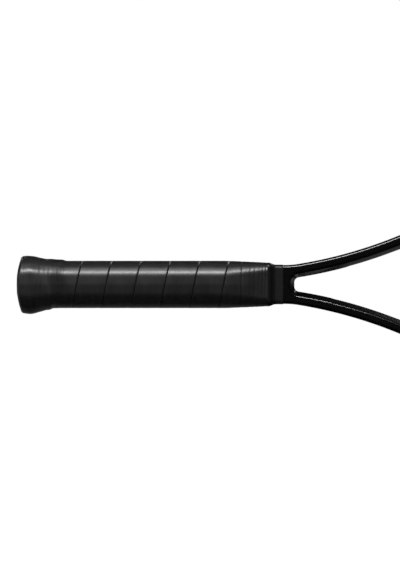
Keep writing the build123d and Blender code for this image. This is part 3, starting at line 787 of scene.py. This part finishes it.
def build_butt_cap():
    """The moulded cap: a domed end round the door hole, and the skirt under the grip."""
    bm = bmesh.new()
    lip = grown(PALLET, 4.75 * MM)
    hole_edge = ((1.65, 0.0), (0.30, 0.0), (0.06, 0.012), (0.0, 0.035))
    rings = [cap_ring(x * MM, lip, share) for x, share in hole_edge]
    dome = (0.08, 0.16, 0.26, 0.38, 0.5, 0.62, 0.74, 0.84, 0.92, 0.97, 1.0)
    rings += [cap_ring(None, lip, share) for share in dome]
    rings.append([(dome_x(y, z) + 0.5 * MM, y * 1.012, z * 1.012) for _, y, z in rings[-1]])
    rings.append([(x + 1.2 * MM, y * 1.004, z * 1.004) for x, y, z in rings[-1]])
    skirt = ((16, 2.6), (25, 0.6), (25, 0.05), (3.6, 0.05))
    rings += [cap_ring(x * MM, grown(PALLET, rise * MM), rounding=3 * MM) for x, rise in skirt]
    rings.append([(1.65 * MM, y * 0.75, z * 0.75) for _, y, z in rings[0]])
    verts = loft(bm, rings)
    join_rings(bm, verts[-1], verts[0])
    piece = make_piece("domed_butt_cap", bm, "racket", CAP, sharp_angle=40)
    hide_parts("butt_cap")


def lathe(bm, profile, to_point, steps=64):
    """A closed body of revolution from (along, radius) pairs that start and end on its axis."""
    start, end = (bm.verts.new(to_point(along, 0.0, 0.0)) for along, _ in (profile[0], profile[-1]))
    turns = [math.tau * k / steps for k in range(steps)]
    rings = loft(bm, [[to_point(along, radius * math.cos(a), radius * math.sin(a)) for a in turns]
                      for along, radius in profile[1:-1]])
    for k in range(steps):
        bm.faces.new((start, rings[0][k], rings[0][(k + 1) % steps]))
        bm.faces.new((end, rings[-1][(k + 1) % steps], rings[-1][k]))


def build_door():
    """The trap door: a disc with a shallow finger dish and a raised ring, and its plug."""
    profile = [(0.5, 0.0), (0.5, 3.2), (0.42, 3.8), (0.16, 4.2), (0.05, 4.5), (0.02, 4.9), (0.02, 5.5),
               (0.12, 5.65), (0.24, 5.8), (0.24, 6.0), (0.10, 6.15), (0.02, 6.35), (0.05, 6.75),
               (0.22, 6.95), (0.4, 7.0), (1.45, 7.0), (1.5, 6.95), (1.5, 5.3), (1.6, 5.2), (8.6, 5.2),
               (8.9, 5.0), (9.0, 4.7), (9.0, 0.0)]
    bm = bmesh.new()
    lathe(bm, [(x * MM, r * MM) for x, r in profile], lambda along, a, b: (along, a, b))
    piece = make_piece("trap_door", bm, "door", DOOR, sharp_angle=50)
    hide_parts("butt_cap_door")


# ---- Finishing tape ----
def tape_point(x, point, normal):
    """A point of the tape at x in millimetres, with fine creases and a wandering edge."""
    crease = noise.noise(Vector((x * 0.9, point.x * 260, point.y * 260)))
    spread = noise.noise(Vector((point.x * 70, point.y * 70, 4.2)))
    moved = point + normal * 0.05 * MM * crease
    return (x * MM + 0.16 * MM * spread, moved.x, moved.y)


def build_tape():
    """Stretched tape over the end of the grip, down its slope and flat on the shaft."""
    bm = bmesh.new()
    # Height above the shaft, as (x, height) in millimetres.
    stations = ((191.3, 1.50), (191.35, 1.86), (191.7, 1.90), (192.4, 1.86), (193.2, 1.76),
                (194.0, 1.42), (194.9, 1.02), (195.8, 0.66), (196.7, 0.42), (197.5, 0.31),
                (198.4, 0.28), (200.4, 0.27), (202.8, 0.27), (203.3, 0.25), (203.42, 0.16),
                (203.42, -0.05))
    loft(bm, [[tape_point(x, *pair) for pair in section_ring(grown(TAPED_SHAFT, rise * MM), 3.4 * MM)]
              for x, rise in stations])
    piece = make_piece("tape_wrap", bm, "racket", TAPE, sharp_angle=60)
    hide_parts("finishing_tape")


# ---- Strings ----
Hole = namedtuple("Hole", "mouth bend")


def main_places():
    steps = [(2 * i + 1) / (MAIN_COUNT - 1) for i in range(MAIN_COUNT // 2)]
    upper = [MAIN_REACH * ((1 - MAIN_CROWDING) * t + MAIN_CROWDING * t**3) for t in steps]
    return [-z for z in reversed(upper)] + upper


def cross_places():
    middle, half = (FIRST_CROSS_X + LAST_CROSS_X) / 2, (LAST_CROSS_X - FIRST_CROSS_X) / 2
    steps = [2 * i / (CROSS_COUNT - 1) - 1 for i in range(CROSS_COUNT)]
    return [middle + half * ((1 - CROSS_CROWDING) * t + CROSS_CROWDING * t**3) for t in steps]


MAINS, CROSSES = main_places(), cross_places()
THROAT_EDGE = (MAINS[(MAIN_COUNT + THROAT_MAINS) // 2 - 1] + MAINS[(MAIN_COUNT + THROAT_MAINS) // 2]) / 2


def heading_at_z(side, end, z):
    """The arc and heading where a main at z meets the frame, on a side arc or an end arc."""
    heading = math.degrees(math.acos(min(z / (end.radius - MOUTH_INSET), 1)))
    sign = 1 if end is BRIDGE else -1
    if heading < abs(side.start + side.end):
        return side, sign * math.degrees(math.acos((z - side.z) / (side.radius - MOUTH_INSET)))
    return end, sign * heading


def heading_at_x(x):
    """The arc and heading where a cross at x meets the frame."""
    for bow in ((LOWER, BRIDGE) if x < WIDEST_X else (UPPER, TIP)):
        share = min(max((bow.x - x) / (bow.radius - MOUTH_INSET), -1), 1)
        heading = math.degrees(math.asin(share))
        if min(bow.start, bow.end) <= heading <= max(bow.start, bow.end):
            break
    return bow, heading


def hole(bow, heading, side):
    """The two turns of a string at a grommet: inside the head, and outside in the groove."""
    mouth, outer = Vector(at(bow, heading, MOUTH_INSET)), Vector(at(bow, heading))
    way = (outer - mouth).normalized()
    if bow is BRIDGE and mouth.y > THROAT_EDGE:
        to = mouth - Vector((ARM.x, ARM.z))
        b = to.dot(way)
        outer = mouth + way * (-b - math.sqrt(b * b - to.dot(to) + ARM_RADIUS**2))
    bend = outer - way * STRING_DEPTH
    return Hole(Vector((mouth.x, side * mouth.y)), Vector((bend.x, side * bend.y)))


def loop_middle(first, second):
    """Middle of the string's loop between two holes, bowed out to follow the frame."""
    span = second - first
    across = Vector((span.y, -span.x)).normalized()
    middle = (first + second) / 2
    if across.dot(middle - Vector((BRIDGE.x, 0))) < 0:
        across = -across
    return middle + across * (span.length**2 / (8 * TIP.radius))


def weave(places, others, index, swing, steps):
    """Heights along a string that passes over and under the others, as (place, height) pairs."""
    heights = [(p, STRING_PLANE + swing * (-1) ** (index + k)) for k, p in enumerate(others)]
    path = [heights[0]]
    for (p0, h0), (p1, h1) in zip(heights, heights[1:]):
        for k in range(1, steps + 1):
            t = k / steps
            path.append((p0 + (p1 - p0) * t, h0 + (h1 - h0) * (1 - math.cos(math.pi * t)) / 2))
    return [(p, h) for p, h in path if places[0] < p < places[1]]


def rounded_route(points, steps=4):
    """The route with each sharp turn replaced by a short arc."""
    route = [points[0]]
    for before, here, after in zip(points, points[1:], points[2:]):
        a, b = before - here, after - here
        turn = math.pi - a.angle(b)
        if turn < SHARP_TURN:
            route.append(here)
            continue
        lead = min(STRING_BEND * math.tan(turn / 2), 0.45 * a.length, 0.45 * b.length)
        route += corner_curve(here + a.normalized() * lead, here, here + b.normalized() * lead, steps)
    return route + [points[-1]]


def add_tube(bm, points, radius, sides=8):
    """A round tube along points, closed at both ends."""
    across, rings = Vector((0, 1, 0)), []
    turns = [math.tau * k / sides for k in range(sides)]
    for i, point in enumerate(points):
        ahead = (points[min(i + 1, len(points) - 1)] - points[max(i - 1, 0)]).normalized()
        across = (across - ahead * across.dot(ahead)).normalized()
        other = ahead.cross(across)
        rings.append([point + (across * math.cos(a) + other * math.sin(a)) * radius for a in turns])
    verts = loft(bm, rings)
    bm.faces.new(verts[0])
    bm.faces.new(verts[-1])


def main_run(i, z):
    """One main from hole to hole, the other way round for every second one."""
    side = 1 if z > 0 else -1
    low = hole(*heading_at_z(LOWER, BRIDGE, abs(z)), side)
    high = hole(*heading_at_z(UPPER, TIP, abs(z)), side)
    inside = weave((low.mouth.x, high.mouth.x), CROSSES, i, MAIN_SWING, 3)
    if abs(z) < DAMPENER_HIGH[2]:
        inside = [(DAMPENER_HIGH[0], STRING_PLANE)] + inside
    run = [(low.bend.x, STRING_PLANE, low.bend.y), (low.mouth.x, STRING_PLANE, z)]
    run += [(x, y, z) for x, y in inside]
    run += [(high.mouth.x, STRING_PLANE, z), (high.bend.x, STRING_PLANE, high.bend.y)]
    return [Vector(p) for p in (run[::-1] if i % 2 == 0 else run)]


def cross_run(j, x):
    """One cross from hole to hole, the other way round for every second one."""
    bow, heading = heading_at_x(x)
    low, high = hole(bow, heading, -1), hole(bow, heading, 1)
    inside = weave((low.mouth.y, high.mouth.y), MAINS, j, -CROSS_SWING, 6)
    run = [(low.bend.x, -STRING_PLANE, low.bend.y), (x, -STRING_PLANE, low.mouth.y)]
    run += [(x, y, z) for z, y in inside]
    run += [(x, -STRING_PLANE, high.mouth.y), (high.bend.x, -STRING_PLANE, high.bend.y)]
    return [Vector(p) for p in (run[::-1] if j % 2 == 0 else run)]


def laced(runs):
    """One route through all the runs, with a loop outside the frame after each."""
    points = list(runs[0])
    for run in runs[1:]:
        start, end = points[-1], run[0]
        middle = loop_middle(Vector((start.x, start.z)), Vector((end.x, end.z)))
        points.append(Vector((middle.x, start.y, middle.y)))
        points += run
    return points


def build_strings():
    """The two strings, laced through the frame and woven over and under each other."""
    routes = {"woven_mains": laced([main_run(i, z) for i, z in enumerate(MAINS)]),
              "woven_crosses": laced([cross_run(j, x) for j, x in enumerate(CROSSES)])}
    nodes = {"woven_mains": "main_strings", "woven_crosses": "cross_strings"}
    for name, route in routes.items():
        bm = bmesh.new()
        add_tube(bm, rounded_route(route), STRING_RADIUS)
        piece = make_piece(name, bm, "racket", STRING, sharp_angle=60, merge=1e-8)
        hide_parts(nodes[name])


# ---- Dampener ----
def dampener_profile(half, radius, slot):
    """Half of the button from the middle of its face, over the rim and back to the slot's face."""
    # Depth below the face and radius, then the inset from the rim, then the same above the slot.
    face = ((0.6, 0.0), (0.6, 1.4), (0.35, 1.7), (0.35, 2.3), (0.6, 2.6), (0.6, 5.2), (0.5, 5.5),
            (0.15, 5.75), (0.0, 6.1), (0.0, 7.0))
    rim = ((0.12, 0.55), (0.45, 0.16), (0.95, 0.0))
    under = ((0.7, 0.0), (0.25, 0.16), (0.02, 0.5), (0.0, 0.9))
    profile = [(half - depth * MM, r * MM) for depth, r in face]
    profile += [(half - depth * MM, radius - inset * MM) for depth, inset in rim]
    profile += [(slot + rise * MM, radius - inset * MM) for rise, inset in under]
    return profile + [(slot, 0.0)]


def build_dampener():
    """A rubber button: two dished flanges and a waist between the two middle mains."""
    low, high = DAMPENER_LOW, DAMPENER_HIGH
    centre, radius, half = (low + high) / 2, (high.x - low.x) / 2, (high.y - low.y) / 2
    slot = STRING_RADIUS + 0.2 * MM
    profile = dampener_profile(half, radius, slot)
    bm = bmesh.new()
    for side in (-1, 1):
        lathe(bm, profile, lambda along, a, b: (centre.x + a, centre.y + side * along, b * side))
    corners = [Vector(p) * MM for p in ((-4.5, -4.0), (-4.5, 4.0), (4.5, 4.0), (4.5, -4.0))]
    waist = rounded_path(corners, 1.2 * MM, 4)
    overlap = slot + 0.3 * MM
    rings = loft(bm, [[(centre.x + p.x, centre.y + y, p.y) for p, _ in waist]
                      for y in (-overlap, overlap)])
    for ring in rings:
        bm.faces.new(ring)
    piece = make_piece("ringed_dampener", bm, "dampener", RUBBER, sharp_angle=50)
    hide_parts("string_dampener")


# ---- Carried-over solids ----
def dress_solids():
    """Gives each solid that stays its own material."""
    looks = [
        (FOAM, ("handle_pallet_front", "handle_pallet_back")),
        (STEEL, ("butt_cap_staple_upper", "butt_cap_staple_lower")),
        (NYLON, ("bumper_guard", "grommet_strip_upper", "grommet_strip_lower", "grommet_strip_throat")),
        (STRING, ("main_knot_upper", "main_knot_lower", "cross_knot_first", "cross_knot_last")),
    ]
    for material, names in looks:
        for node in names:
            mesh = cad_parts[node].data
            mesh.materials.clear()
            mesh.materials.append(material)


# ---- Stage, lights and camera ----
VIEW_CENTRE = Vector((139.9 * MM, 0.0, -0.42 * MM))
VIEW_HEIGHT = 436 * MM
CAMERA_DISTANCE = 4.0
# Strength of the floor's painted glow in reflections, standing in for the lamps' light on it, as slopes:
# before the object, behind it, and the share of the part behind it that is left under the arms.
GLOSS_BEFORE = (-1.2, -0.3, 0.05, 0.0)
GLOSS_BEHIND = (-0.03, 0.16, 0.014, 0.28)
GLOSS_SHARES = [(-0.148, -0.133, 1.0, 0.0), (-0.060, -0.048, 0.0, 1.0)]
FLOOR_SIZE = 12
FLOOR_FADE = (0.5, 1.3, 1.12, 1.3)  # the floor's white for the camera, as a slope outwards
FLOOR_WHITE = 0.8  # share of that white; the lamps light the rest
WORLD_GLOSS = 0.018  # strength of the white surroundings in reflections
WORLD_FILL = 0.30  # strength of the world's soft light
THROAT_LEAD = 0.26  # from the throat to the middle of the racket
# Name, place seen from what it lights, width and height, and power in watts. The key lights the throat.
LIGHTS = [("key", (0, -1.43, 1.19), (1.07, 0.26), 24.5), ("top", (0, 0.1, 2.0), (2.4, 0.9), 1.5),
          ("back_right", (1.6, 1.6, 1.9), (1.2, 0.7), 20),
          ("back_left", (-1.2, 1.9, 1.5), (1.0, 0.6), 10), ("left", (-2.0, -0.5, 0.7), (0.5, 1.2), 5.5)]


def seen_white(tree, camera_white, gloss_white):
    """Strength of a stage surface: white to the camera and through glass, and faint in gloss."""
    path = add_node(tree, "LightPath").outputs
    camera = math_node(tree, "MULTIPLY", path["Is Camera Ray"], camera_white)
    gloss = math_node(tree, "MULTIPLY", path["Is Glossy Ray"], gloss_white)
    direct = math_node(tree, "ADD", camera, path["Is Transmission Ray"])
    return path, math_node(tree, "ADD", direct, gloss)


def slope_node(tree, source, values):
    """A smooth slope of the source, with its values as (start, end, value at start, value at end)."""
    names = ("From_Min", "From_Max", "To_Min", "To_Max")
    node = add_node(tree, "MapRange", Value=source, **dict(zip(names, values)))
    node.interpolation_type = "SMOOTHSTEP"
    return node.outputs["Result"]


def build_stage():
    """A pale floor. The camera sees it white, with a share of the lamps' light to show the shadow."""
    low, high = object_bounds()
    middle = (low + high) / 2
    bpy.ops.mesh.primitive_plane_add(size=FLOOR_SIZE, location=(middle.x, middle.y, low.z))
    floor = bpy.context.object
    floor.name = "floor"
    material = bpy.data.materials.new("pale_floor")
    material.use_nodes = True
    tree = material.node_tree
    tree.nodes.remove(shader_of(material))
    lit = add_node(tree, "BsdfDiffuse", Color=(0.8, 0.8, 0.8, 1))
    # Far from the object the lamps' light fades, so the white there makes up for it.
    place = add_node(tree, "TexCoord").outputs["Object"]
    reach = add_node(tree, "VectorMath", Vector=place)
    reach.operation = "LENGTH"
    fade = slope_node(tree, reach.outputs["Value"], FLOOR_FADE)
    # In reflections the floor glows lighter behind the object: painted light, which stands in for the
    # lamps lighting the floor there.
    sides = add_node(tree, "SeparateXYZ", Vector=place).outputs
    before = slope_node(tree, sides["Y"], GLOSS_BEFORE)
    behind = slope_node(tree, sides["Y"], GLOSS_BEHIND)
    shares = [slope_node(tree, sides["X"], values) for values in GLOSS_SHARES]
    behind = math_node(tree, "MULTIPLY", behind, math_node(tree, "ADD", *shares))
    path, amount = seen_white(tree, fade, math_node(tree, "ADD", before, behind))
    white = add_node(tree, "Emission", Strength=amount)
    camera = math_node(tree, "MULTIPLY", path["Is Camera Ray"], FLOOR_WHITE)
    share = math_node(tree, "MAXIMUM", camera, path["Is Glossy Ray"])
    mix = add_node(tree, "MixShader", Fac=share)
    tree.links.new(lit.outputs["BSDF"], mix.inputs[1])
    tree.links.new(white.outputs["Emission"], mix.inputs[2])
    fill_inputs(tree, tree.nodes["Material Output"], Surface=mix.outputs["Shader"])
    floor.data.materials.append(material)


def build_world():
    """White surroundings with a soft light."""
    world = bpy.data.worlds.new("studio")
    bpy.context.scene.world = world
    world.use_nodes = True
    tree = world.node_tree
    path, amount = seen_white(tree, 1.0, WORLD_GLOSS)
    soft = math_node(tree, "MULTIPLY", path["Is Diffuse Ray"], WORLD_FILL)
    fill_inputs(tree, tree.nodes["Background"], Color=(1, 1, 1, 1),
                Strength=math_node(tree, "ADD", amount, soft))


def add_area_light(name, place, target, size, power):
    data = bpy.data.lights.new(name, "AREA")
    data.shape = "RECTANGLE"
    data.size, data.size_y = size
    data.energy = power
    light = add_object(name, data)
    light.location = place
    light.rotation_euler = (target - place).to_track_quat("-Z", "Y").to_euler()
    light.visible_camera = False


def build_lights():
    middle = Vector((TOTAL_LENGTH / 2, 0, 0))
    for name, place, size, power in LIGHTS:
        target = middle - Vector((THROAT_LEAD, 0, 0)) if name == "key" else middle
        add_area_light(name, target + Vector(place), target, size, power)


def build_camera():
    """A long lens square on to the string plane."""
    data = bpy.data.cameras.new("camera")
    data.lens = data.sensor_width * CAMERA_DISTANCE / VIEW_HEIGHT
    data.clip_start, data.clip_end = 0.1, 50
    camera = add_object("camera", data)
    camera.location = VIEW_CENTRE + Vector((0, -CAMERA_DISTANCE, 0))
    camera.rotation_euler = (math.radians(90), 0, 0)
    bpy.context.scene.camera = camera


build_frame_shell()
build_grip()
build_tape()
build_butt_cap()
build_door()
build_strings()
build_dampener()
dress_solids()
build_stage()
build_world()
build_lights()
build_camera()
bpy.context.scene.view_settings.view_transform = "Standard"
